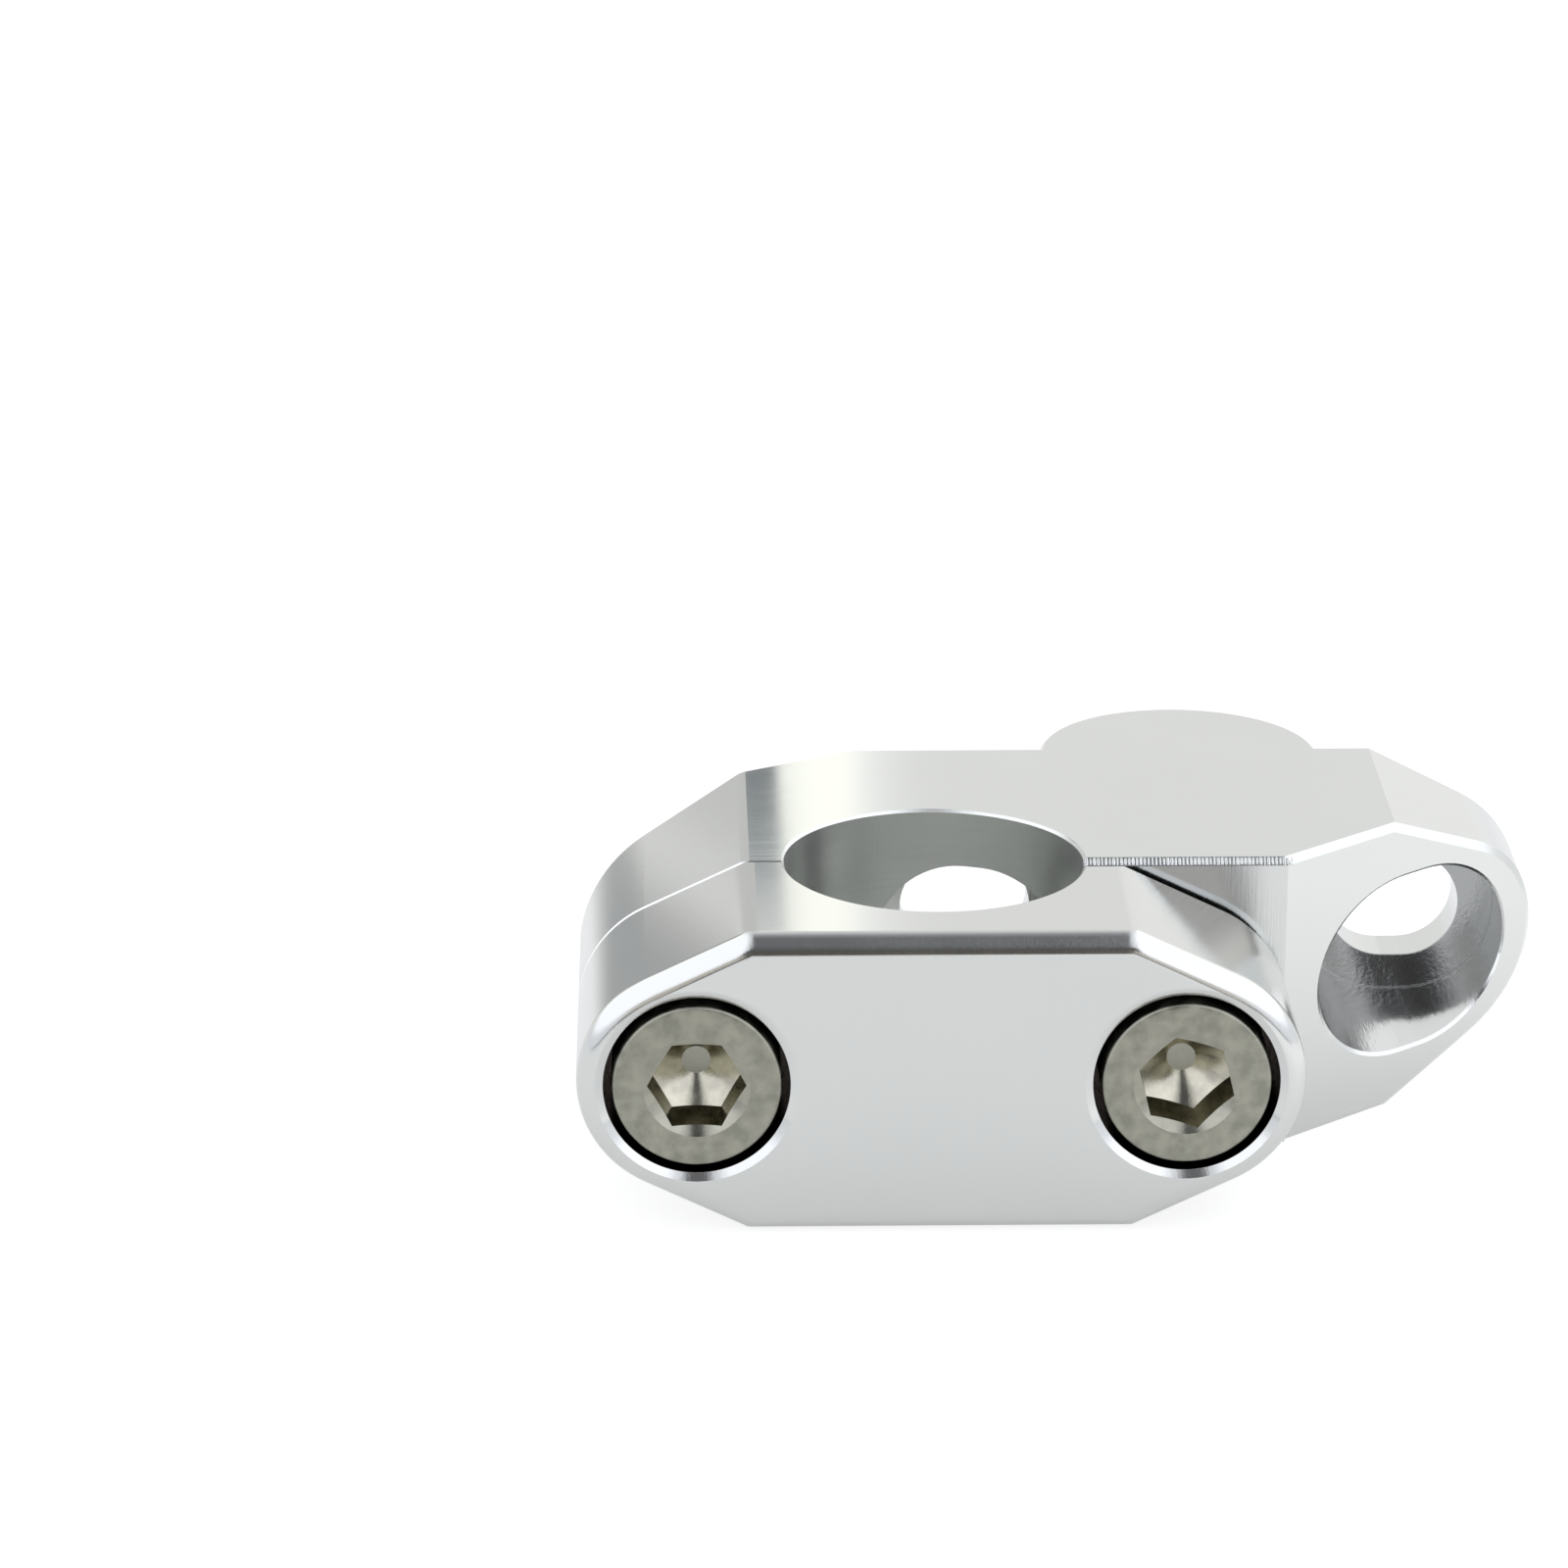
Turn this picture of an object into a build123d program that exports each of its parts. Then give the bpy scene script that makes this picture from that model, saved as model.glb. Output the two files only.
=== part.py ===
"""Setback handlebar riser for a motorcycle: a machined body, the clamp cap and its two screws.

It lies on its flat side face, as it would be put down on a table. Z is the bar's axis and Z = 0 is
the face that it lies on. X points to the mounting lobe. Y points away from the cap, so what is
below the bar's axis in use has a positive Y here. The origin is on the bar's axis.
"""
from build123d import *
import math
import os

# Bar bore, and the riser's width along the bar
bar_diameter = 28.6
riser_width = 29.4
bore_edge_break = 0.25

# Clamp screws: metric 10 socket head cap screws
screw_spacing = 45.5
thread_diameter = 10.0
screw_length = 37.0
screw_end_chamfer = 0.9
head_diameter = 15.8
head_height = 10.0
head_edge_radius = 0.4
socket_flats = 8.0
socket_depth = 5.4
socket_mouth_diameter = 10.0
socket_mouth_angle = 120.0
drill_tip_angle = 118.0
socket_pip_diameter = 2.4
socket_turns = {"far": 0.0, "near": -16.0}

# Clamp cap, and its joint with the body
cap_height = 21.3
joint_offset = 0.4
joint_edge_break = 0.2
cap_gap = 1.45
gap_edge_break = 0.45
cap_edge_radius = 2.0
head_recess = 0.1
head_clearance = 0.8
shank_clearance = 0.5
counterbore_lip_width = 0.75
counterbore_lip_depth = 0.45

# Ends of the cap and the body in plan: flat facets that run into a round
counterbore_wall = 2.5
mount_seat_wall = 2.2
clamp_facet_inset = 4.75
lobe_facet_inset = 4.2
far_corner_radius = 2.0

# Body below the bar's axis
body_depth = 32.8
lobe_centre_offset = 1.85
slant_start = 34.3
slant_angle = 40.0
belly_start = 6.7
belly_angle = 30.0
deck_chamfer = 0.7
side_chamfer = 0.35
tapped_hole_spare = 1.5
thread_fit = 0.05

# Lug that seats in the fork's own clamp
lug_setback = 26.0
lug_drop = 31.6
lug_radius = 13.9

# Two slotted mounting holes with sunk seats, one each side of the lug
mount_half_spacing = 21.55
mount_slot_width = 11.0
mount_seat_width = 18.0
mount_slot_travel = 2.0
mount_floor = 5.6
mount_mouth_break = 0.3

# Worked out from the sizes above
half_width = riser_width / 2
half_spacing = screw_spacing / 2
bar_radius = bar_diameter / 2
counterbore_radius = head_diameter / 2 + head_clearance
clamp_end_radius = counterbore_radius + counterbore_wall
lobe_end_radius = mount_seat_width / 2 + mount_seat_wall
lobe_centre = lug_setback + mount_half_spacing + lobe_centre_offset
clamp_end = half_spacing + clamp_end_radius
lobe_end = lobe_centre + lobe_end_radius
slant_slope = math.tan(math.radians(slant_angle))
head_top = cap_height - head_recess
head_seat = head_top - head_height
screw_reach = screw_length - head_seat
clear_of_part = 4 * riser_width


def tangent_point(corner_x, centre_x, radius):
    """Where the facet from a side face's corner touches the end's round, seen along Y."""
    across = corner_x - centre_x
    reach = math.hypot(across, half_width)
    swing = math.acos(radius / reach)
    turn = math.atan2(half_width, across)
    angle = turn - swing if centre_x > corner_x else turn + swing
    return centre_x + radius * math.cos(angle), radius * math.sin(angle)


def plan_outline(left_corner, right_corner, right_centre, right_radius):
    """The outline seen along Y: two side faces, four facets and two rounds."""
    left_x, left_z = tangent_point(left_corner, -half_spacing, clamp_end_radius)
    right_x, right_z = tangent_point(right_corner, right_centre, right_radius)
    right_round = ThreePointArc(
        (right_x, half_width - right_z), (right_centre + right_radius, half_width),
        (right_x, half_width + right_z))
    left_round = ThreePointArc(
        (left_x, half_width + left_z), (-clamp_end, half_width), (left_x, half_width - left_z))
    outline = Wire([
        Line((left_corner, 0), (right_corner, 0)),
        Line((right_corner, 0), right_round @ 0),
        right_round,
        Line(right_round @ 1, (right_corner, riser_width)),
        Line((right_corner, riser_width), (left_corner, riser_width)),
        Line((left_corner, riser_width), left_round @ 0),
        left_round,
        Line(left_round @ 1, (left_corner, 0)),
    ])
    return Plane.XZ * make_face(outline)


def along_y(x, from_y, to_y, from_radius, to_radius=None):
    """A cylinder along Y at mid width, or a cone where it has a second radius."""
    place = Pos(x, (from_y + to_y) / 2, half_width) * Rot(-90, 0, 0)
    if to_radius is None:
        return place * Cylinder(from_radius, to_y - from_y)
    return place * Cone(from_radius, to_radius, to_y - from_y)


def slot_along_y(x, from_y, to_y, width):
    """A slot with round ends, longer along X, cut along Y at mid width."""
    face = Pos(x, from_y, half_width) * Rot(-90, 0, 0) * SlotOverall(width + mount_slot_travel, width)
    return extrude(face, amount=to_y - from_y)


def in_bore(edge):
    """Whether an edge lies on the bar's bore."""
    return all(abs(math.hypot((edge @ t).X, (edge @ t).Y) - bar_radius) < 0.01 for t in (0, 0.5, 1))


def bar_hole():
    """The bar's bore with its two broken rims."""
    hole = Pos(0, 0, half_width) * Cylinder(bar_radius, clear_of_part)
    flare = Cone(bar_radius + 2 * bore_edge_break, bar_radius, 2 * bore_edge_break)
    hole += flare
    hole += Pos(0, 0, riser_width) * Rot(180, 0, 0) * flare
    return hole


def tapped_hole(x):
    """A tapped hole for a clamp screw, drilled from the deck, with its drilled tip."""
    radius = thread_diameter / 2 + thread_fit
    depth = screw_reach + tapped_hole_spare
    tip = radius / math.tan(math.radians(drill_tip_angle / 2))
    return along_y(x, -1, depth, radius) + along_y(x, depth, depth + tip, radius, 0.01)


def mounting_slot(x):
    """A slotted hole and its sunk seat, open to the deck side and cut through the underside."""
    floor = body_depth - mount_floor
    return (slot_along_y(x, -1, floor, mount_seat_width)
            + slot_along_y(x, floor - 1, body_depth + 1, mount_slot_width))


def body_block():
    """The body's block: a side profile and a plan outline cut from one bar of metal."""
    slant_top = slant_start - joint_offset / slant_slope
    slant_drop = (lobe_end - slant_start) * slant_slope
    belly_rise = (clamp_end - belly_start) * math.tan(math.radians(belly_angle))
    side = make_face(Polyline(
        (-clamp_end, -joint_offset), (slant_top, -joint_offset), (lobe_end, slant_drop),
        (lobe_end, body_depth), (-belly_start, body_depth),
        (-clamp_end, body_depth - belly_rise), close=True))
    side += Pos(lug_setback, lug_drop) * Circle(lug_radius)
    far_corner = clamp_facet_inset - half_spacing
    plan = plan_outline(far_corner, lobe_centre - lobe_facet_inset, lobe_centre, lobe_end_radius)
    block = extrude(side, amount=riser_width) & extrude(plan, amount=clear_of_part, both=True)
    corners = [e for e in block.edges().filter_by(Axis.Y) if abs((e @ 0.5).X - far_corner) < 0.01]
    return fillet(corners, far_corner_radius)


def body():
    """The body: its block, bored for the bar, with broken edges, tapped and mounting holes."""
    block = body_block() - Pos(0, 0, half_width) * Cylinder(bar_radius, clear_of_part)

    near_deck = block.faces().filter_by(Plane.XZ).sort_by(Axis.Y)[:2].sort_by(Axis.X)[1]
    slant = block.faces().filter_by(
        lambda f: f.is_planar and f.normal_at().X > 0.1 and f.normal_at().Y < -0.1)[0]
    front = near_deck.edges().filter_by(Axis.X)
    front += [e for e in slant.edges() if (e @ 0.5).X > slant_start + 0.01]
    block = chamfer(front, deck_chamfer)

    far_deck = block.faces().filter_by(Plane.XZ).sort_by(Axis.Y)[:2].sort_by(Axis.X)[0]
    block = chamfer([e for e in far_deck.edges() if not in_bore(e)], joint_edge_break)

    under = block.faces().filter_by(lambda f: f.center().Y > half_width and f.normal_at().Y > 0.1)
    across = under.edges().filter_by(Axis.Z)
    block = chamfer([e for e in under.edges() if e not in across], side_chamfer)

    for x in (-half_spacing, half_spacing):
        block -= tapped_hole(x)
    for x in (lug_setback - mount_half_spacing, lug_setback + mount_half_spacing):
        block -= mounting_slot(x)
    mouth = [e for e in block.edges() if on_slant_mouth(e)]
    block = chamfer(mouth, mount_mouth_break)
    return block - bar_hole()


def on_slant_mouth(edge):
    """Whether an edge is on the lobe slot's mouth in the slanted face."""
    mouth_x = lug_setback + mount_half_spacing
    reach = (mount_seat_width + mount_slot_travel) / 2 + 0.1
    points = [edge @ t for t in (0, 0.5, 1)]
    on_face = all(abs(p.Y - (p.X - slant_start) * slant_slope) < 0.01 for p in points)
    return on_face and all(math.hypot(p.X - mouth_x, p.Z - half_width) < reach for p in points)


def clamp_cap():
    """The clamp cap: half a bore, two sunk screw seats, and a gap left at the lobe's side."""
    corner = half_spacing - clamp_facet_inset
    joint = Pos(0, -joint_offset, 0)
    plan = plan_outline(-corner, corner, half_spacing, clamp_end_radius)
    cap = extrude(joint * plan, amount=cap_height - joint_offset)
    gap = Box(clear_of_part, cap_gap, clear_of_part, align=(Align.MIN, Align.MAX, Align.CENTER))
    cap -= joint * gap
    face = cap.faces().sort_by(Axis.Y)[0]
    cap = fillet(face.edges(), cap_edge_radius)
    cap -= Pos(0, 0, half_width) * Cylinder(bar_radius, clear_of_part)
    for side, edge_break in ((0, joint_edge_break), (-1, gap_edge_break)):
        seats = cap.faces().filter_by(lambda f: f.is_planar and f.normal_at().Y > 0.99)
        seat = seats.sort_by(Axis.X)[side]
        cap = chamfer([e for e in seat.edges() if not in_bore(e)], edge_break)

    shank_hole = thread_diameter / 2 + shank_clearance
    lip = counterbore_radius + counterbore_lip_width
    for x in (-half_spacing, half_spacing):
        cap -= along_y(x, -cap_height - 1, -head_seat, counterbore_radius)
        cap -= along_y(x, -head_seat - 1, 1, shank_hole)
        cap -= along_y(x, -cap_height, -cap_height + counterbore_lip_depth, lip, counterbore_radius)
    return cap - bar_hole()


def clamp_screw(x, turn):
    """A socket head cap screw, its head towards the cap's face and its thread into the body."""
    radius, core = head_diameter / 2, thread_diameter / 2
    head = Cylinder(radius, head_height, align=(Align.CENTER, Align.CENTER, Align.MAX))
    head = fillet(head.edges().sort_by(Axis.Z)[-1], head_edge_radius)
    shank = Cylinder(core, screw_length, align=(Align.CENTER, Align.CENTER, Align.MAX))
    shank = chamfer(shank.edges().sort_by(Axis.Z)[0], screw_end_chamfer)
    screw = head + Pos(0, 0, -head_height) * shank

    hexagon = RegularPolygon(socket_flats / 2, 6, major_radius=False, rotation=turn)
    corner = socket_flats / 2 / math.cos(math.radians(30))
    pip = socket_pip_diameter / 2
    tip = (corner - pip) / math.tan(math.radians(drill_tip_angle / 2))
    flat_tip = (corner - socket_flats / 2) / math.tan(math.radians(drill_tip_angle / 2))
    drilled = Pos(0, 0, -socket_depth + flat_tip - tip / 2) * Cone(pip, corner, tip)
    socket = extrude(hexagon, amount=-socket_depth + flat_tip)
    mouth = socket_mouth_diameter / 2
    sink = mouth / math.tan(math.radians(socket_mouth_angle / 2))
    socket += drilled & extrude(hexagon, amount=-2 * socket_depth)
    socket += Pos(0, 0, -sink / 2) * Cone(0.01, mouth, sink)
    return Pos(x, -head_top, half_width) * Rot(90, 0, 0) * (screw - socket)


os.makedirs("parts", exist_ok=True)
pieces = {"riser_body": body(), "clamp_cap": clamp_cap()}
for side, x in (("far", -half_spacing), ("near", half_spacing)):
    pieces[f"clamp_screw_{side}"] = clamp_screw(x, socket_turns[side])
for name, piece in pieces.items():
    piece.label = name
    export_step(piece, f"parts/{name}.step")
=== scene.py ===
import math

import bmesh
import bpy
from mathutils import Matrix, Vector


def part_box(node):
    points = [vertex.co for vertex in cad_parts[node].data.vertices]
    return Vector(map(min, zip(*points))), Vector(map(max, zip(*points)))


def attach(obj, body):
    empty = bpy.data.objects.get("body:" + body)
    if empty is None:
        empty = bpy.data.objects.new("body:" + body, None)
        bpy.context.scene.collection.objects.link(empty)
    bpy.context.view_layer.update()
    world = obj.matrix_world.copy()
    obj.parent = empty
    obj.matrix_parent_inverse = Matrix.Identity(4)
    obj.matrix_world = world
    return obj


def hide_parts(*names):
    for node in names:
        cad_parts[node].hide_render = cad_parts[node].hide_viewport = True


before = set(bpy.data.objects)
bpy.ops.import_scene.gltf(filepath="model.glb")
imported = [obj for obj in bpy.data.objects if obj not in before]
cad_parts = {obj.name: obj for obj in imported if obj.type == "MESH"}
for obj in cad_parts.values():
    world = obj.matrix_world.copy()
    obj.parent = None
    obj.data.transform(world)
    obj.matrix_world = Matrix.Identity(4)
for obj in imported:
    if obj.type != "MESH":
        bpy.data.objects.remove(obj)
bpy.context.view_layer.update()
bpy.context.scene.view_settings.view_transform = "Standard"


# The camera: a long lens a little above the riser, which lies on its side face with
# the cap towards the lens. The riser sits in the lower right of the frame.
camera = bpy.data.objects.new("camera", bpy.data.cameras.new("camera"))
bpy.context.scene.collection.objects.link(camera)
bpy.context.scene.camera = camera
camera.data.lens = 138.36
camera.data.sensor_width = 36
camera.data.clip_start = 0.01
camera.location = (-0.02615, -0.54008, 0.22231)
camera.rotation_euler = [math.radians(turn) for turn in (71.070, -0.119, -1.220)]


# The studio: a white light tent with a slit along its ridge and an opening round the
# lens, which bright metal shows as dark lines. The camera itself sees plain white.
def add(tree, kind, inputs, **settings):
    """A new node. Each input is a value, or the socket of another node that it comes from."""
    node = tree.nodes.new(kind)
    for label, setting in settings.items():
        setattr(node, label, setting)
    for label, value in inputs.items():
        socket = node.inputs[label]
        if isinstance(value, bpy.types.NodeSocket):
            tree.links.new(value, socket)
        elif socket.type == "RGBA":
            socket.default_value = (*value, 1)
        else:
            socket.default_value = value
    return node


def calc(tree, operation, *values):
    """One sum of numbers."""
    return add(tree, "ShaderNodeMath", dict(enumerate(values)), operation=operation).outputs[0]


def vector_calc(tree, operation, *values):
    """One sum of vectors."""
    node = add(tree, "ShaderNodeVectorMath", dict(enumerate(values)), operation=operation)
    return node.outputs["Value" if operation in ("DOT_PRODUCT", "LENGTH") else "Vector"]


def split_xyz(tree, vector):
    """A vector's X, Y and Z, each under its own name."""
    return add(tree, "ShaderNodeSeparateXYZ", {0: vector}).outputs


def fade(tree, value, low, high, at_low, at_high, shape="SMOOTHSTEP"):
    """A number that goes from one level to another as the value goes from low to high."""
    inputs = {"Value": value, "From Min": low, "From Max": high, "To Min": at_low, "To Max": at_high}
    return add(tree, "ShaderNodeMapRange", inputs, interpolation_type=shape).outputs["Result"]


def blend(tree, kind, factor, first, second):
    """The first number, vector or colour, and the second in its place as the factor goes to one."""
    first_at, second_at, result_at = {"FLOAT": (2, 3, 0), "VECTOR": (4, 5, 1), "RGBA": (6, 7, 2)}[kind]
    inputs = {0: factor, first_at: first, second_at: second}
    return add(tree, "ShaderNodeMix", inputs, data_type=kind).outputs[result_at]


def all_of(tree, first, *others):
    """The product of masks: one where all of them hold."""
    product = first
    for mask in others:
        product = calc(tree, "MULTIPLY", product, mask)
    return product


def toned(tree, place, stops):
    """A tone by the place along a row of stops, each its place from 0 to 1 and a grey or a colour."""
    node = add(tree, "ShaderNodeValToRGB", {"Fac": place})
    elements = node.color_ramp.elements
    while len(elements) > 1:
        elements.remove(elements[-1])
    for number, (stop, tone) in enumerate(stops):
        element = elements[0] if number == 0 else elements.new(stop)
        element.position = stop
        element.color = (*tone, 1) if isinstance(tone, tuple) else (tone, tone, tone, 1)
    return node.outputs["Color"]


lamp_boost = 0.5
left_wall = 0.94
right_wall = 1.02
lens_direction = (0, -0.951, 0.309)
wall_limit = 1.6
lens_level = 0.12
low_front_level = 0.64
under_level = 0.15
tent = bpy.data.worlds.new("light_tent")
bpy.context.scene.world = tent
tent.use_nodes = True
tree = tent.node_tree
tree.nodes.clear()
direction = tree.nodes.new("ShaderNodeTexCoord").outputs["Generated"]
point = split_xyz(tree, direction)
sideways = calc(tree, "ABSOLUTE", point["X"])
along_ridge = calc(tree, "MULTIPLY_ADD", point["Y"], 0.5, 0.5)

# the tent's walls, with a row of lamps along each side
above_table = fade(tree, point["Z"], 0.10, 0.26, 0, 1)
not_behind = fade(tree, point["Y"], 0.70, 0.88, 1, 0)
lamps = all_of(tree, fade(tree, sideways, 0.20, 0.32, 0, 1), above_table, not_behind)
cloth = fade(tree, point["X"], 0.02, 0.20, left_wall, right_wall)
walls = calc(tree, "MULTIPLY_ADD", lamps, lamp_boost, cloth)

# the slit along the ridge, darkest in front of the riser
slit = toned(tree, along_ridge, (
    (0, 0.10), (0.055, 0.12), (0.15, 0.17), (0.50, 0.19), (0.545, 0.24), (0.665, 0.37),
    (0.785, 0.66), (0.91, 0.94)))
brightness = blend(tree, "FLOAT", fade(tree, sideways, 0.10, 0.17, 1, 0), walls, slit)

# the opening round the lens
towards_lens = vector_calc(tree, "DOT_PRODUCT", direction, lens_direction)
opening = fade(tree, towards_lens, 0.945, 0.985, wall_limit, lens_level)
brightness = calc(tree, "MINIMUM", brightness, opening)

# the dimmer cloth low in front, and what is below the table's level on the lens's side
beside = fade(tree, sideways, 0.24, 0.42, 1, 0)
low_down = fade(tree, point["Z"], 0.15, 0.26, 1, 0)
low_front = all_of(tree, beside, low_down, fade(tree, point["Y"], -0.90, -0.80, 1, 0))
dimmer = calc(tree, "MINIMUM", brightness, low_front_level)
brightness = blend(tree, "FLOAT", low_front, brightness, dimmer)
lens_side = fade(tree, point["Y"], -0.1, 0.1, 1, 0)
under = all_of(tree, fade(tree, point["Z"], -0.03, 0, 1, 0), lens_side)
brightness = blend(tree, "FLOAT", under, brightness, under_level)

# the cloth's tint, warm round the lens, cool above and plain behind
tint = toned(tree, along_ridge, (
    (0, (1.07, 1.0, 0.90)), (0.02, (1.04, 1.0, 0.95)), (0.06, (0.97, 0.985, 1.05)),
    (0.70, (0.96, 0.985, 1.05)), (0.86, 1.0)))
to_camera = tree.nodes.new("ShaderNodeLightPath").outputs["Is Camera Ray"]
wall = add(tree, "ShaderNodeBackground", {
    "Color": blend(tree, "RGBA", to_camera, tint, (1, 1, 1)),
    "Strength": blend(tree, "FLOAT", to_camera, brightness, 1.0)})
add(tree, "ShaderNodeOutputWorld", {"Surface": wall.outputs[0]})


# The table: a plain pale top, white to the camera and to the metal, with the riser's
# shadow left in it. It ends a little way in front of the riser.
def empty_material(name):
    """A new material with no nodes in it, and its tree."""
    material = bpy.data.materials.new(name)
    material.use_nodes = True
    material.node_tree.nodes.clear()
    return material, material.node_tree


def stage_plane(name, corners, material):
    """A flat stage piece with four corners."""
    mesh = bpy.data.meshes.new(name)
    mesh.from_pydata(corners, [], [(0, 1, 2, 3)])
    plane = bpy.data.objects.new(name, mesh)
    bpy.context.scene.collection.objects.link(plane)
    plane.data.materials.append(material)
    return plane


table_colour = (0.74, 0.74, 0.73)
dim_glow = 1.22
full_glow = 1.88
camera_share = 0.66
metal_share = 0.31
table_reach = 2
table_front = -0.3
table, tree = empty_material("table_top")
across = split_xyz(tree, tree.nodes.new("ShaderNodeTexCoord").outputs["Object"])
to_the_right = fade(tree, across["X"], 0.025, 0.110, dim_glow, full_glow, "LINEAR")
to_the_back = fade(tree, across["Y"], 0.03, 0.10, full_glow, dim_glow, "LINEAR")
white = add(tree, "ShaderNodeEmission", {"Strength": calc(tree, "MINIMUM", to_the_right, to_the_back)})
matt = add(tree, "ShaderNodeBsdfDiffuse", {"Color": table_colour})
ray = tree.nodes.new("ShaderNodeLightPath").outputs
in_metal = calc(tree, "MULTIPLY", ray["Is Glossy Ray"], metal_share)
share = calc(tree, "MULTIPLY_ADD", ray["Is Camera Ray"], camera_share, in_metal)
lit_top = add(tree, "ShaderNodeMixShader", {0: share, 1: matt.outputs[0], 2: white.outputs[0]})
add(tree, "ShaderNodeOutputMaterial", {"Surface": lit_top.outputs[0]})
stage_plane("table", [
    (-table_reach, table_front, 0), (table_reach, table_front, 0),
    (table_reach, table_reach, 0), (-table_reach, table_reach, 0)], table)


# The cards on the table behind the riser, which only its bright metal sees: a wide one
# that goes from grey to white, and a narrow dark one before it.
card_height = 0.100
card_foot = (-0.004, 0.024)


def stage_card(name, left, right, right_top, back, axis, span, tones):
    """A card on edge behind the riser. Its tones run along X or Z, and its right edge may lean."""
    paint, tree = empty_material(name)
    place = split_xyz(tree, tree.nodes.new("ShaderNodeTexCoord").outputs["Object"])
    low, high = span
    along = fade(tree, place[axis], low, high, 0, 1, "LINEAR")
    tone = toned(tree, along, [((stop - low) / (high - low), level) for stop, level in tones])
    foot = fade(tree, place["Z"], *card_foot, 1, 0)
    glow = add(tree, "ShaderNodeEmission", {"Color": blend(tree, "RGBA", foot, tone, (1, 1, 1))})
    add(tree, "ShaderNodeOutputMaterial", {"Surface": glow.outputs[0]})
    corners = [(left, back, 0), (right, back, 0), (right_top, back, card_height), (left, back, card_height)]
    card = stage_plane(name, corners, paint)
    card.visible_camera = False
    card.visible_diffuse = False
    card.visible_shadow = False
    card.visible_transmission = False


warm = (1.37, 1.38, 1.29)
stage_card(
    "wide_card", left=-0.110, right=0.006, right_top=0.006, back=0.090, axis="X", span=(-0.110, 0.006),
    tones=((-0.110, 0.97), (-0.102, 0.85), (-0.093, 0.56), (-0.084, (0.47, 0.475, 0.48)),
           (-0.060, (0.45, 0.465, 0.475)), (-0.057, (0.45, 0.46, 0.47)), (-0.0551, 0.53), (-0.0535, 0.51),
           (-0.0528, 0.64), (-0.0514, 0.68), (-0.050, 0.77), (-0.0483, 0.87), (-0.0455, 0.84),
           (-0.040, 0.70), (-0.020, 0.68), (-0.0150, 0.76), (-0.0137, (1.10, 1.11, 1.09)),
           (-0.0117, (1.27, 1.28, 1.21)), (-0.009, warm), (-0.0057, warm), (-0.0030, 1.14),
           (-0.0005, 1.02), (0.0025, 0.955), (0.006, 0.94)))
stage_card(
    "dark_card", left=-0.0172, right=-0.0163, right_top=-0.0100, back=0.0895, axis="Z", span=(0.040, 0.080),
    tones=((0.040, (0.20, 0.215, 0.235)), (0.052, (0.25, 0.27, 0.29)), (0.060, (0.34, 0.37, 0.39)),
           (0.066, (0.66, 0.68, 0.69)), (0.075, 0.9)))


# The body: one block of aluminium, milled all over, with its edges broken and a clear
# anodised finish. The cutter leaves lines along the bar on walls, and across the sides.
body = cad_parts["riser_body"]
deck_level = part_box("riser_body")[0].y
riser_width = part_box("riser_body")[1].z
riser_middle = riser_width / 2
bar_radius = 0.0143
bar_slack = 0.0002
lobe_seat_x = 0.04755
lobe_seat_travel = 0.001
lobe_seat_radius = 0.00903
lobe_seat_floor = 0.0272
below_seats = 0.0275
same_plane = 0.00005
# where the painted highlights lie: a thin band above the seat floor's corner, and the joint's edge left of
# the bar bore
seat_corner = 0.00021
seat_corner_width = 0.00015
joint_edge_right = -0.0182
joint_edge_width = 0.00034
deck_shade_ends = (0.0285, 0.0325)
side_facing = (0.93, 0.98)
# the bar bore's two tones, paler than the outer walls: painted light deep in the bore
bore_deep_painted_light = (0.69, 0.705, 0.68)
bore_pale_painted_light = (0.85, 0.865, 0.84)
# the painted highlights' near-white colour
painted_highlight_colour = (0.97, 0.975, 0.97)
bore_roughness = 0.32
seat_roughness = 0.11
painted_highlight_roughness = 0.45
relief_strength = 0.6
seat_line_height = 2.5

# each cut's lines: how the pattern is stretched along X, Y and Z, and its lines in a metre
wall_lines = ((1, 1, 0.02), 4200)
side_lines = ((0.05, 1, 1), 2600)
seat_lines = ((1, 0.10, 1), 2400)
bore_lines = ((0.06, 0.06, 1), 2600)


def join_xyz(tree, **parts):
    """A vector from its X, Y and Z. One that isn't given is zero."""
    return add(tree, "ShaderNodeCombineXYZ", parts).outputs[0]


def noise(tree, place, scale, detail, roughness=0.5):
    """Noise over the surface, as a number from 0 to 1."""
    inputs = {"Vector": place, "Scale": scale, "Detail": detail, "Roughness": roughness}
    return add(tree, "ShaderNodeTexNoise", inputs).outputs["Fac"]


def node_group(name, inputs, outputs):
    """A new shader node group with these sockets, and its two ends."""
    group = bpy.data.node_groups.new(name, "ShaderNodeTree")
    for way, sockets in (("INPUT", inputs), ("OUTPUT", outputs)):
        for label, kind in sockets.items():
            group.interface.new_socket(label, in_out=way, socket_type="NodeSocket" + kind)
    return group, group.nodes.new("NodeGroupInput").outputs, group.nodes.new("NodeGroupOutput").inputs


def use_group(tree, group, inputs):
    """The outputs of a node group that is placed in a tree with these inputs."""
    return add(tree, "ShaderNodeGroup", inputs, node_tree=group).outputs


def machining_lines():
    """The shader group for the fine lines that a cutter leaves, and the metal's slow changes."""
    group, into, out = node_group(
        "machining_lines", {"Position": "Vector", "Stretch": "Vector", "Lines per Metre": "Float"},
        {"Height": "Float", "Tone": "Float"})
    stretched = vector_calc(group, "MULTIPLY", into["Position"], into["Stretch"])
    fine = noise(group, stretched, into["Lines per Metre"], detail=3, roughness=0.65)
    slow = noise(group, into["Position"], scale=70, detail=2)
    group.links.new(fine, out["Height"])
    tone = calc(group, "MULTIPLY_ADD", fine, 0.5, calc(group, "MULTIPLY", slow, 0.5))
    group.links.new(tone, out["Tone"])
    return group


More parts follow.
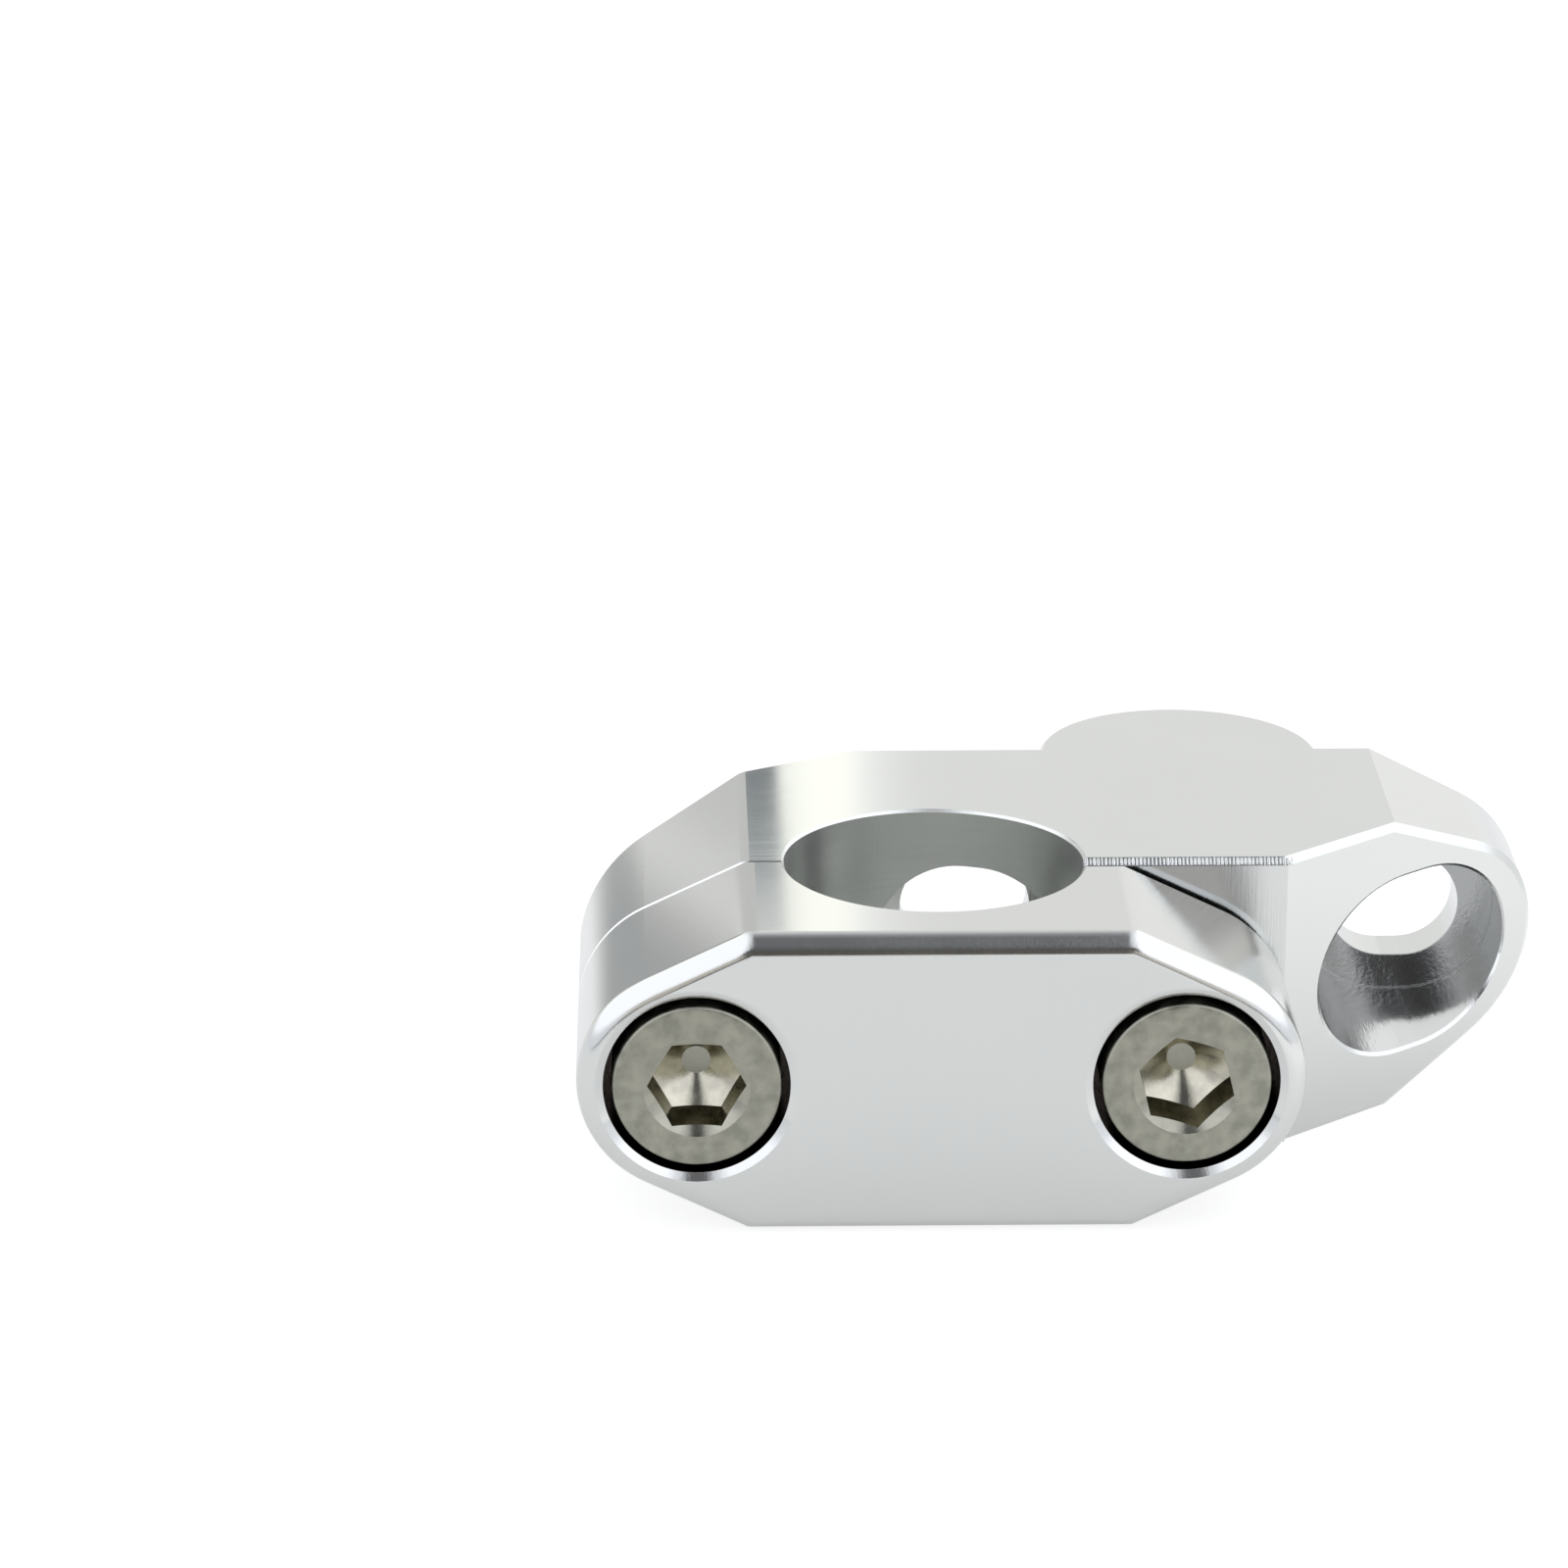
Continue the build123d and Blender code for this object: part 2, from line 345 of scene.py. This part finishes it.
def bored_wall():
    """The shader group that tells a hole's wall from the rest: 1 within a radius of its axis."""
    group, into, out = node_group(
        "bored_wall", {"Position": "Vector", "Across": "Vector", "Axis Point": "Vector",
                       "Half Travel": "Float", "Radius": "Float"},
        {"Inside": "Float"})
    away = vector_calc(group, "SUBTRACT", into["Position"], into["Axis Point"])
    distance = vector_calc(group, "ABSOLUTE", vector_calc(group, "MULTIPLY", away, into["Across"]))
    past_travel = vector_calc(group, "SUBTRACT", distance, join_xyz(group, X=into["Half Travel"]))
    reach = vector_calc(group, "LENGTH", vector_calc(group, "MAXIMUM", past_travel, (0, 0, 0)))
    group.links.new(calc(group, "LESS_THAN", reach, into["Radius"]), out["Inside"])
    return group


lines_group = machining_lines()
bored_group = bored_wall()


def bare_metal(name):
    """A new metal material, with its tree, its shader and the place on the piece for patterns."""
    metal = bpy.data.materials.new(name)
    metal.use_nodes = True
    tree = metal.node_tree
    shader = tree.nodes["Principled BSDF"]
    shader.inputs["Metallic"].default_value = 1.0
    return metal, tree, shader, tree.nodes.new("ShaderNodeTexCoord").outputs["Object"]


def give_finish(tree, shader, colour, roughness, height, depth, strength):
    """Give a metal its colour, its roughness and the fine relief of its surface."""
    relief = add(tree, "ShaderNodeBump", {"Height": height, "Distance": depth, "Strength": strength})
    tree.links.new(colour, shader.inputs["Base Color"])
    tree.links.new(roughness, shader.inputs["Roughness"])
    tree.links.new(relief.outputs[0], shader.inputs["Normal"])


def milled_aluminium(name, pale, deep, smoothest, roughest, depth, seats, seat_colour_and_shade, seat_floor,
                     floor_painted_shade, deck_colour_and_shade):
    """Clear anodised aluminium: lines along the bar on the walls, across the side faces, along
    the seats and round the bore. Each seat is its axis point, half travel and radius."""
    metal, tree, shader, place = bare_metal(name)
    at = split_xyz(tree, place)
    facing = split_xyz(tree, tree.nodes.new("ShaderNodeNewGeometry").outputs["Normal"])

    def bored(across, point, travel, radius):
        return use_group(tree, bored_group, {"Position": place, "Across": across, "Axis Point": point,
                                             "Half Travel": travel, "Radius": radius})["Inside"]

    def near_level(level, reach):
        return bored((0, 1, 0), (0, level, 0), 0, reach)

    def cut(stretch, per_metre):
        return use_group(tree, lines_group, {"Position": place, "Stretch": stretch,
                                             "Lines per Metre": per_metre})

    # masks for where on the riser a point lies
    on_side = fade(tree, calc(tree, "ABSOLUTE", facing["Z"]), *side_facing, 0, 1, "LINEAR")
    in_bar_bore = bored((1, 1, 0), (0, 0, 0), 0, bar_radius + bar_slack)
    in_seat = bored((1, 0, 1), *seats[0])
    for seat in seats[1:]:
        in_seat = calc(tree, "MAXIMUM", in_seat, bored((1, 0, 1), *seat))
    in_seat = all_of(tree, in_seat, calc(tree, "LESS_THAN", at["Y"], below_seats))
    # painted shade: the seats' floors take the floor colour, darker than the metal
    shaded_floor = all_of(tree, in_seat, calc(tree, "GREATER_THAN", at["Y"], seat_floor - same_plane))
    # painted shade: the deck's plane under the cap takes the deck colour, which on the body is darker, up to
    # the deck shade's ends
    shaded_deck = all_of(tree, near_level(deck_level, same_plane), fade(tree, at["X"], *deck_shade_ends, 1, 0))
    # painted highlights: a near-white band at the seat floor's corner and along the joint's edge
    floor_corner_highlight = all_of(tree, in_seat, near_level(seat_floor - seat_corner, seat_corner_width))
    left_of_bore = calc(tree, "LESS_THAN", at["X"], joint_edge_right)
    joint_edge_highlight = all_of(tree, left_of_bore, near_level(deck_level, joint_edge_width))
    painted_highlight = calc(tree, "MAXIMUM", floor_corner_highlight, joint_edge_highlight)

    # the lines that the cutter left there
    walls = cut(*wall_lines)
    sides = cut(*side_lines)
    along_seat = cut(*seat_lines)
    rings = cut(*bore_lines)
    height = blend(tree, "FLOAT", on_side, walls["Height"], sides["Height"])
    tone = blend(tree, "FLOAT", on_side, walls["Tone"], sides["Tone"])
    height = blend(tree, "FLOAT", in_bar_bore, height, calc(tree, "ADD", height, rings["Height"]))
    seat_height = calc(tree, "MULTIPLY", along_seat["Height"], seat_line_height)
    height = blend(tree, "FLOAT", in_seat, height, seat_height)

    # its colour and its roughness there. The colours hold painted light: a paler bar bore, painted shade on
    # the deck, the seat floors and the counterbores, and painted highlights along the seat floor's corner
    # and the joint's edge
    colour = blend(tree, "RGBA", tone, deep, pale)
    # painted light: the bore's lines in paler tones, which brighten the bore
    bore_colour_painted_light = blend(tree, "RGBA", rings["Tone"], bore_deep_painted_light, bore_pale_painted_light)
    for where, there in ((shaded_deck, deck_colour_and_shade), (in_bar_bore, bore_colour_painted_light), (in_seat, seat_colour_and_shade),
                         (shaded_floor, floor_painted_shade), (painted_highlight, painted_highlight_colour)):
        colour = blend(tree, "RGBA", where, colour, there)
    roughness = fade(tree, tone, 0.3, 0.7, smoothest, roughest, "LINEAR")
    for where, there in ((in_bar_bore, bore_roughness), (in_seat, seat_roughness),
                         (painted_highlight, painted_highlight_roughness)):
        roughness = blend(tree, "FLOAT", where, roughness, there)
    give_finish(tree, shader, colour, roughness, height, depth, relief_strength)
    return metal


body_metal = milled_aluminium(
    "body_aluminium", pale=(0.715, 0.727, 0.705), deep=(0.665, 0.677, 0.66), smoothest=0.09, roughest=0.17,
    depth=0.000020, seats=[((lobe_seat_x, 0, riser_middle), lobe_seat_travel, lobe_seat_radius)],
    # the seat floor's darker colour is painted shade
    seat_colour_and_shade=(0.69, 0.70, 0.70), seat_floor=lobe_seat_floor, floor_painted_shade=(0.37, 0.378, 0.378),
    # the body's darker deck colour is painted shade in the gap under the cap
    deck_colour_and_shade=(0.47, 0.475, 0.475))
body.data.materials.clear()
body.data.materials.append(body_metal)


# The cap: the same aluminium, its outer face brushed a little smoother, with a round
# worked along its outer edge. Two screws hold it down on the body.
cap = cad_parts["clamp_cap"]
screw_offset = 0.02275
counterbore_radius = 0.00872
# painted shade: the counterbores' walls and floors are near black, for the dark gap round each screw head
counterbore_floor = -0.0112
counterbore_painted_shade = (0.05, 0.042, 0.038)
soft_corner_x = 0.018
soft_corner_width = 0.0013
soft_corner_turn = math.radians(25.6)
near_side_face = 0.0122


def soft_corner():
    """The shader group for a corner that polishing has rounded: the normal turns over its width."""
    group, into, out = node_group(
        "soft_corner", {"Position": "Vector", "Corner X": "Float", "Middle Z": "Float",
                        "Half Width": "Float", "Turn": "Float"},
        {"Normal": "Vector"})
    normal = group.nodes.new("ShaderNodeNewGeometry").outputs["Normal"]
    place = split_xyz(group, into["Position"])
    facing = split_xyz(group, normal)
    past = calc(group, "SUBTRACT", calc(group, "ABSOLUTE", place["X"]), into["Corner X"])
    before = calc(group, "MULTIPLY", into["Half Width"], -1)
    turn = calc(group, "MULTIPLY", fade(group, past, before, into["Half Width"], 0, 1), into["Turn"])
    facing_y = calc(group, "POWER", calc(group, "ABSOLUTE", facing["Y"]), 2)
    level = calc(group, "SQRT", calc(group, "MAXIMUM", calc(group, "SUBTRACT", 1, facing_y), 0))
    height = calc(group, "SUBTRACT", place["Z"], into["Middle Z"])
    turned_x = calc(group, "MULTIPLY", level, calc(group, "SINE", turn))
    turned_z = calc(group, "MULTIPLY", level, calc(group, "COSINE", turn))
    turned = join_xyz(
        group, X=calc(group, "MULTIPLY", calc(group, "SIGN", place["X"]), turned_x), Y=facing["Y"],
        Z=calc(group, "MULTIPLY", calc(group, "SIGN", height), turned_z))
    in_width = calc(group, "LESS_THAN", calc(group, "ABSOLUTE", past), into["Half Width"])
    near_side = calc(group, "GREATER_THAN", calc(group, "ABSOLUTE", height), near_side_face)
    near = all_of(group, in_width, near_side)
    group.links.new(blend(group, "VECTOR", near, normal, turned), out["Normal"])
    return group


counterbores = [((x, 0, riser_middle), 0, counterbore_radius) for x in (-screw_offset, screw_offset)]
cap_metal = milled_aluminium(
    "cap_aluminium", pale=(0.705, 0.715, 0.695), deep=(0.655, 0.665, 0.65), smoothest=0.09, roughest=0.16,
    # the counterbores' near-black colour is painted shade
    depth=0.000008, seats=counterbores, seat_colour_and_shade=counterbore_painted_shade, seat_floor=counterbore_floor,
    floor_painted_shade=counterbore_painted_shade, deck_colour_and_shade=(0.655, 0.665, 0.65))
tree = cap_metal.node_tree
corner = use_group(tree, soft_corner(), {
    "Position": tree.nodes["Texture Coordinate"].outputs["Object"], "Corner X": soft_corner_x,
    "Middle Z": riser_middle, "Half Width": soft_corner_width, "Turn": soft_corner_turn})
tree.links.new(corner["Normal"], tree.nodes["Bump"].inputs["Normal"])
cap.data.materials.clear()
cap.data.materials.append(cap_metal)


# The tool marks along the broken edge of the deck beside the cap, one for each pass of
# the cutter: small worn ridges across the bevel, on both side faces.
mark_count = 54
mark_pitch = 0.00037
mark_size = (0.00015, 0.00048, 0.00009)
smallest_mark = (0.55, 0.80, 0.45)
largest_mark = (1.15, 1.05, 1.15)
mark_seed = 4
mark_bluntness = 0.4
first_mark = 0.0146
bevel_middle = 0.00035
bevel_lean = math.radians(45)


def geometry_tree(name, inputs, output):
    """A new Geometry Nodes tree with these inputs and one geometry output, and its two ends."""
    tree = bpy.data.node_groups.new(name, "GeometryNodeTree")
    for label, (kind, value) in inputs.items():
        socket = tree.interface.new_socket(label, in_out="INPUT", socket_type="NodeSocket" + kind)
        if value is not None:
            socket.default_value = value
    tree.interface.new_socket(output, in_out="OUTPUT", socket_type="NodeSocketGeometry")
    return tree, tree.nodes.new("NodeGroupInput").outputs, tree.nodes.new("NodeGroupOutput").inputs


def real_metal(tree, geometry, metal):
    """The geometry as real, smooth faces of this metal."""
    smooth = add(tree, "GeometryNodeSetShadeSmooth", {"Geometry": geometry})
    real = add(tree, "GeometryNodeRealizeInstances", {"Geometry": smooth.outputs[0]})
    return add(tree, "GeometryNodeSetMaterial", {"Geometry": real.outputs[0], "Material": metal}).outputs[0]


def deck_tool_marks():
    """Geometry Nodes tree: a row of small ridges laid across a bevel."""
    tree, into, out = geometry_tree("deck_tool_marks", {
        "Count": ("Int", mark_count), "Start": ("Vector", (0, 0, 0)), "Pitch": ("Float", mark_pitch),
        "Ridge Size": ("Vector", mark_size), "Bluntness": ("Float", mark_bluntness),
        "Lean": ("Float", bevel_lean), "Metal": ("Material", None)}, "Marks")
    row = add(tree, "GeometryNodeMeshLine", {
        "Count": into["Count"], "Start Location": into["Start"], "Offset": join_xyz(tree, X=into["Pitch"])})
    ball = add(tree, "GeometryNodeMeshUVSphere", {"Segments": 8, "Rings": 6, "Radius": 1.0})
    at = split_xyz(tree, tree.nodes.new("GeometryNodeInputPosition").outputs[0])
    full = calc(tree, "POWER", calc(tree, "ABSOLUTE", at["Y"]), into["Bluntness"])
    blunt_y = calc(tree, "MULTIPLY", calc(tree, "SIGN", at["Y"]), full)
    blunt = add(tree, "GeometryNodeSetPosition", {
        "Geometry": ball.outputs["Mesh"], "Position": join_xyz(tree, X=at["X"], Y=blunt_y, Z=at["Z"])})
    ridge = add(tree, "GeometryNodeTransform", {"Geometry": blunt.outputs[0], "Scale": into["Ridge Size"]})
    wander = add(tree, "FunctionNodeRandomValue", {0: smallest_mark, 1: largest_mark, "Seed": mark_seed},
                 data_type="FLOAT_VECTOR")
    laid = add(tree, "GeometryNodeInstanceOnPoints", {
        "Points": row.outputs["Mesh"], "Instance": ridge.outputs["Geometry"],
        "Rotation": join_xyz(tree, X=into["Lean"]), "Scale": wander.outputs[0]})
    tree.links.new(real_metal(tree, laid.outputs[0], into["Metal"]), out["Marks"])
    return tree


def made_by_nodes(name, tree, values):
    """A plain mesh from a Geometry Nodes tree with these inputs."""
    holder = bpy.data.objects.new(name, bpy.data.meshes.new(name))
    bpy.context.scene.collection.objects.link(holder)
    modifier = holder.modifiers.new(name, "NODES")
    modifier.node_group = tree
    inputs = {item.name: item.identifier for item in tree.interface.items_tree if item.in_out == "INPUT"}
    for label, value in values.items():
        modifier[inputs[label]] = value
    bpy.context.view_layer.update()
    depsgraph = bpy.context.evaluated_depsgraph_get()
    mesh = bpy.data.meshes.new_from_object(holder.evaluated_get(depsgraph))
    holder.modifiers.clear()
    holder.data = mesh
    return holder


marks_tree = deck_tool_marks()
for name, height, lean in (("tool_marks_top", riser_width - bevel_middle, bevel_lean),
                           ("tool_marks_under", bevel_middle, -bevel_lean)):
    start = (first_mark, deck_level + bevel_middle, height)
    marks = made_by_nodes(name, marks_tree, {"Start": start, "Lean": lean, "Metal": body_metal})
    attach(marks, "root")


# The clamp screws: two socket head cap screws of dull steel, forged, with a sunk hexagon
# socket that a drill started, and a rolled thread. They stand in the cap's seats.
head_radius = 0.0079
head_height = 0.0100
head_edge = 0.0004
head_foot_edge = 0.0002
head_facets = 96
neck_radius = 0.0035
neck_depth = 0.0004
socket_apothem = 0.0040
socket_depth = 0.0054
socket_mouth = 0.0050
mouth_angle = math.radians(60)
drill_angle = math.radians(60)
pip_radius = 0.00135
thread_radius = 0.0050
thread_pitch = 0.0015
thread_root = 0.00408
thread_end = 0.0038
thread_weld = 0.000002
thread_facets = 48
thread_rows = 300
root_flat = 0.25
crest_start = 0.875
screw_length = 0.0370
crease = math.radians(28)
cloud_scale = 620
pit_scale = 5200
pit_depth = 0.00001


def steel(name, pale, deep, smoothest, roughest, pitted):
    """Screw steel with a cloudy, finely pitted skin."""
    metal, tree, shader, place = bare_metal(name)
    cloud = noise(tree, place, cloud_scale, detail=6)
    pits = noise(tree, place, pit_scale, detail=2)
    colour = blend(tree, "RGBA", fade(tree, cloud, 0.36, 0.64, 0, 1, "LINEAR"), deep, pale)
    roughness = fade(tree, cloud, 0.35, 0.65, smoothest, roughest, "LINEAR")
    give_finish(tree, shader, colour, roughness, pits, pit_depth, pitted)
    return metal


# the cone's steel is a paler copy of the socket wall's steel, a painted highlight, and the pip's a paler
# copy of the skin's, painted light; the socket's smoother finish is real
screw_metals = [
    steel("screw_steel", (0.40, 0.395, 0.33), (0.27, 0.27, 0.225), 0.30, 0.48, 1.0),
    steel("socket_cone_steel_painted_light", (0.56, 0.54, 0.44), (0.42, 0.405, 0.34), 0.12, 0.20, 0.4),
    steel("socket_wall_steel", (0.46, 0.445, 0.36), (0.36, 0.345, 0.28), 0.12, 0.20, 0.4),
    steel("socket_pip_steel_painted_light", (0.44, 0.435, 0.37), (0.34, 0.335, 0.285), 0.30, 0.45, 1.0),
    steel("socket_mouth_steel", (0.385, 0.38, 0.32), (0.31, 0.305, 0.255), 0.12, 0.20, 0.4)]
on_skin, on_cone, on_socket_wall, on_pip, on_mouth = range(len(screw_metals))
socket_end = -0.0083
cone_top = -0.0050
mouth_low = -0.0008
mouth_high = -0.0001


def head_metal(face):
    """Which of the screw's metals a face of the head has, by where its middle is."""
    middle = face.calc_center_median()
    out = math.hypot(middle.x, middle.y)
    if out >= socket_mouth or middle.z <= socket_end:
        return on_skin
    if out <= pip_radius / 2:
        return on_pip
    if middle.z < cone_top:
        return on_cone
    return on_mouth if mouth_low < middle.z < mouth_high else on_socket_wall


def screw_head(turn):
    """The head with its socket, along its own axis with its top at zero, as one closed mesh."""
    steps = [math.tau * k / head_facets for k in range(head_facets)]
    angles = [turn + step for step in steps]
    hexagon = [socket_apothem / math.cos(step % (math.tau / 6) - math.tau / 12) for step in steps]
    sunk = [-(socket_mouth - r) / math.tan(mouth_angle) for r in hexagon]
    drilled = [-socket_depth + (r - socket_apothem) / math.tan(drill_angle) for r in hexagon]
    pip_level = -socket_depth - (socket_apothem - pip_radius) / math.tan(drill_angle)
    mesh = bmesh.new()

    def ring(radii, levels):
        points = [(r * math.cos(a), r * math.sin(a), z) for r, a, z in zip(radii, angles, levels)]
        return [mesh.verts.new(point) for point in points]

    def plain(radius, level):
        return ring([radius] * head_facets, [level] * head_facets)

    rings = [
        plain(pip_radius, pip_level), ring(hexagon, drilled), ring(hexagon, sunk), plain(socket_mouth, 0)]
    for degrees in (0, 22.5, 45, 67.5, 90):
        t = math.radians(degrees)
        rings.append(plain(head_radius - head_edge * (1 - math.sin(t)), -head_edge * (1 - math.cos(t))))
    rings += [
        plain(head_radius, -head_height + head_foot_edge), plain(head_radius - head_foot_edge, -head_height),
        plain(thread_radius - head_foot_edge, -head_height), plain(neck_radius, -head_height - neck_depth)]
    mesh.faces.new(reversed(rings[0]))
    for inner, outer in zip(rings, rings[1:]):
        for k in range(head_facets):
            n = (k + 1) % head_facets
            mesh.faces.new((inner[k], inner[n], outer[n], outer[k]))
    mesh.faces.new(rings[-1])
    for face in mesh.faces:
        face.material_index = head_metal(face)
        face.smooth = True
    bmesh.ops.recalc_face_normals(mesh, faces=mesh.faces)
    return mesh


def screw_thread():
    """Geometry Nodes tree: a grid rolled up into a threaded shank with both its ends closed."""
    tree, into, out = geometry_tree("screw_thread", {
        "Length": ("Float", screw_length), "Pitch": ("Float", thread_pitch),
        "Crest Radius": ("Float", thread_radius), "Root Radius": ("Float", thread_root),
        "End Radius": ("Float", thread_end), "Steel": ("Material", None)}, "Shank")
    sheet = add(tree, "GeometryNodeMeshGrid", {
        "Size X": math.tau, "Size Y": into["Length"], "Vertices X": thread_facets + 1,
        "Vertices Y": thread_rows})
    at = split_xyz(tree, tree.nodes.new("GeometryNodeInputPosition").outputs[0])
    around = at["X"]
    up_from_tip = calc(tree, "ADD", at["Y"], calc(tree, "MULTIPLY", into["Length"], 0.5))
    climb = calc(tree, "DIVIDE", up_from_tip, into["Pitch"])
    turns = calc(tree, "SUBTRACT", climb, calc(tree, "DIVIDE", around, math.tau))
    from_crest = calc(tree, "SUBTRACT", calc(tree, "FRACT", turns), 0.5)
    flank = calc(tree, "MULTIPLY", calc(tree, "ABSOLUTE", from_crest), 2)
    form = fade(tree, flank, root_flat, crest_start, into["Root Radius"], into["Crest Radius"], "LINEAR")
    bevelled = calc(tree, "MINIMUM", form, calc(tree, "ADD", into["End Radius"], up_from_tip))
    half_row = calc(tree, "DIVIDE", into["Length"], (thread_rows - 1) * 2)
    past_tip = calc(tree, "GREATER_THAN", up_from_tip, half_row)
    below_head = calc(tree, "LESS_THAN", up_from_tip, calc(tree, "SUBTRACT", into["Length"], half_row))
    radius = calc(tree, "MULTIPLY", bevelled, all_of(tree, past_tip, below_head))
    rolled = join_xyz(
        tree, X=calc(tree, "MULTIPLY", radius, calc(tree, "COSINE", around)),
        Y=calc(tree, "MULTIPLY", radius, calc(tree, "SINE", around)), Z=up_from_tip)
    roll = add(tree, "GeometryNodeSetPosition", {"Geometry": sheet.outputs["Mesh"], "Position": rolled})
    closed = add(tree, "GeometryNodeMergeByDistance", {"Geometry": roll.outputs[0], "Distance": thread_weld})
    tree.links.new(real_metal(tree, closed.outputs[0], into["Steel"]), out["Shank"])
    return tree


thread_tree = screw_thread()
for node, turn in (("clamp_screw_far", 0.0), ("clamp_screw_near", math.radians(-16))):
    low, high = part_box(node)
    middle_x, middle_z = (low.x + high.x) / 2, (low.z + high.z) / 2
    shank = made_by_nodes("shank", thread_tree, {"Steel": screw_metals[on_skin]})
    mesh = screw_head(turn)
    head_points = len(mesh.verts)
    mesh.from_mesh(shank.data)
    bpy.data.objects.remove(shank)
    for number, vert in enumerate(mesh.verts):
        x, y, z = vert.co
        lift = 0 if number < head_points else -head_height - screw_length
        vert.co = (middle_x + x, low.y - (z + lift), middle_z + y)
    bmesh.ops.recalc_face_normals(mesh, faces=mesh.faces)
    name = node.replace("clamp_screw", "cap_screw")
    screw = bpy.data.objects.new(name, bpy.data.meshes.new(name))
    mesh.to_mesh(screw.data)
    mesh.free()
    for metal in screw_metals:
        screw.data.materials.append(metal)
    screw.data.set_sharp_from_angle(angle=crease)
    bpy.context.scene.collection.objects.link(screw)
    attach(screw, "root")
    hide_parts(node)
